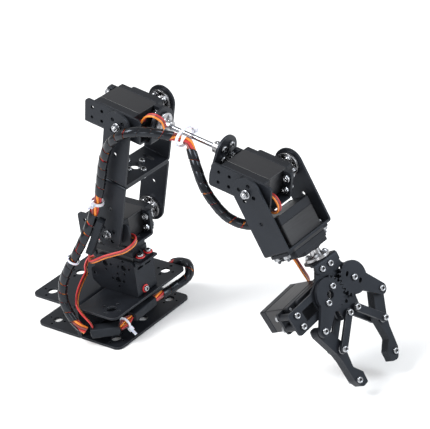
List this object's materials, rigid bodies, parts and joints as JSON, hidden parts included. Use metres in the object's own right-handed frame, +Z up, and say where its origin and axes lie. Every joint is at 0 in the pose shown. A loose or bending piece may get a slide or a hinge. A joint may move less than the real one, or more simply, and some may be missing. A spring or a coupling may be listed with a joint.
{
  "type": "desktop robot arm",
  "caption": "Desktop robot arm of folded black sheet metal with hobby servos, a round forearm rod, a spiral-wrapped wiring loom and a geared parallel claw.",
  "frame": {"origin": "plan centre of the base, on its underside", "axes": "+Z up, +X the way the arm reaches, +Y along the shoulder, elbow and wrist axes"},
  "size_m": [0.3205, 0.1203, 0.2194],
  "materials": {
    "black_sheet": "satin powder coat",
    "servo_plastic": "fine satin",
    "bright_alloy": "turned, bright",
    "zinc_steel": "zinc plated",
    "black_wrap": "semi gloss spiral wrap",
    "servo_wire": "three-strand ribbon",
    "plug_plastic": "moulded",
    "white_nylon": "moulded"
  },
  "bodies": {
    "base": {"base_channel_back": "black_sheet", "base_channel_front": "black_sheet", "yaw_bracket": "black_sheet", "yaw_servo": "servo_plastic", "lead_yaw": "servo_wire", "loom_base": "black_wrap", "loom_lower": "black_wrap", "plug_base_side": "plug_plastic", "plug_base_front": "plug_plastic"},
    "turret": {"yaw_horn": "bright_alloy", "shoulder_bracket": "black_sheet", "shoulder_servo": "servo_plastic", "shoulder_bearing": "bright_alloy", "lead_shoulder": "servo_wire", "plug_turret": "plug_plastic"},
    "upper_arm": {"lower_arm_bracket": "black_sheet", "upper_arm_bracket": "black_sheet", "shoulder_horn": "bright_alloy", "elbow_horn": "bright_alloy", "shoulder_pivot": "zinc_steel", "elbow_pivot": "zinc_steel", "tie_arm": "white_nylon", "loom_upper": "black_wrap"},
    "forearm": {"elbow_bracket": "black_sheet", "elbow_servo": "servo_plastic", "elbow_bearing": "bright_alloy", "rod_plate_near": "black_sheet", "rod_flange_near": "bright_alloy", "forearm_rod": "bright_alloy", "rod_flange_far": "bright_alloy", "rod_plate_far": "black_sheet", "wrist_bracket": "black_sheet", "wrist_servo": "servo_plastic", "wrist_bearing": "bright_alloy", "lead_elbow": "servo_wire", "lead_wrist": "servo_wire", "tie_rod": "white_nylon", "loom_wrist": "black_wrap"},
    "hand": {"wrist_yoke": "black_sheet", "wrist_horn": "bright_alloy", "wrist_pivot": "zinc_steel", "roll_servo": "servo_plastic", "lead_claw": "servo_wire"},
    "claw_base": {"roll_horn": "bright_alloy", "claw_mount": "black_sheet", "claw_front_plate": "black_sheet", "claw_back_plate": "black_sheet", "claw_servo": "servo_plastic", "claw_standoff_1": "zinc_steel", "claw_standoff_2": "zinc_steel", "claw_standoff_3": "zinc_steel", "claw_standoff_4": "zinc_steel", "gear_right_pivot": "zinc_steel"},
    "gear_left_body": {"gear_left": "black_sheet", "claw_horn": "bright_alloy"},
    "gear_right_body": {"gear_right": "black_sheet"},
    "finger_left_body": {"finger_left": "black_sheet"},
    "finger_right_body": {"finger_right": "black_sheet"},
    "link_left_body": {"link_left": "black_sheet"},
    "link_right_body": {"link_right": "black_sheet"}
  },
  "joints": [
    {"name": "base_yaw", "type": "hinge", "parent": "base", "child": "turret", "pos_m": [0.031, 0, 0.08], "axis": [0, 0, 1], "range_deg": [-90, 90], "deforming": ["loom_lower"]},
    {"name": "shoulder_pitch", "type": "hinge", "parent": "turret", "child": "upper_arm", "pos_m": [0.0362, 0, 0.0996], "axis": [0, 1, 0], "range_deg": [-75, 45], "deforming": ["loom_lower"]},
    {"name": "elbow_pitch", "type": "hinge", "parent": "upper_arm", "child": "forearm", "pos_m": [0.06407, 0, 0.20218], "axis": [0, -1, 0], "range_deg": [-45, 60], "deforming": ["loom_upper"]},
    {"name": "wrist_pitch", "type": "hinge", "parent": "forearm", "child": "hand", "pos_m": [0.18638, 0, 0.16985], "axis": [0, -1, 0], "range_deg": [-35, 75], "deforming": ["loom_wrist"]},
    {"name": "wrist_roll", "type": "hinge", "parent": "hand", "child": "claw_base", "pos_m": [0.18638, 0.0101, 0.16985], "axis": [0.4384, 0, -0.8988], "range_deg": [-90, 90], "deforming": ["lead_claw"]},
    {"name": "grip", "type": "hinge", "parent": "claw_base", "child": "gear_left_body", "pos_m": [0.22877, -0.00398, 0.07871], "axis": [0.8911, -0.1305, 0.4346], "range_deg": [-10, 33]},
    {"name": "grip_mirror", "type": "hinge", "parent": "claw_base", "child": "gear_right_body", "pos_m": [0.2321, 0.02418, 0.08033], "axis": [0.8911, -0.1305, 0.4346], "range_deg": [-33, 10]},
    {"name": "finger_left_level", "type": "hinge", "parent": "gear_left_body", "child": "finger_left_body", "pos_m": [0.23561, -0.0243, 0.05857], "axis": [0.8911, -0.1305, 0.4346], "range_deg": [-33, 10]},
    {"name": "finger_right_level", "type": "hinge", "parent": "gear_right_body", "child": "finger_right_body", "pos_m": [0.24376, 0.0445, 0.06254], "axis": [0.8911, -0.1305, 0.4346], "range_deg": [-10, 33]},
    {"name": "link_left_swing", "type": "hinge", "parent": "claw_base", "child": "link_left_body", "pos_m": [0.2391, 0.00554, 0.06038], "axis": [0.8911, -0.1305, 0.4346], "range_deg": [-10, 33]},
    {"name": "link_right_swing", "type": "hinge", "parent": "claw_base", "child": "link_right_body", "pos_m": [0.24018, 0.01466, 0.06091], "axis": [0.8911, -0.1305, 0.4346], "range_deg": [-33, 10]}
  ],
  "couplings": [
    {"joint": "grip_mirror", "follows": "grip", "ratio": -1},
    {"joint": "finger_left_level", "follows": "grip", "ratio": -1},
    {"joint": "finger_right_level", "follows": "grip", "ratio": 1},
    {"joint": "link_left_swing", "follows": "grip", "ratio": 1},
    {"joint": "link_right_swing", "follows": "grip", "ratio": -1}
  ]
}
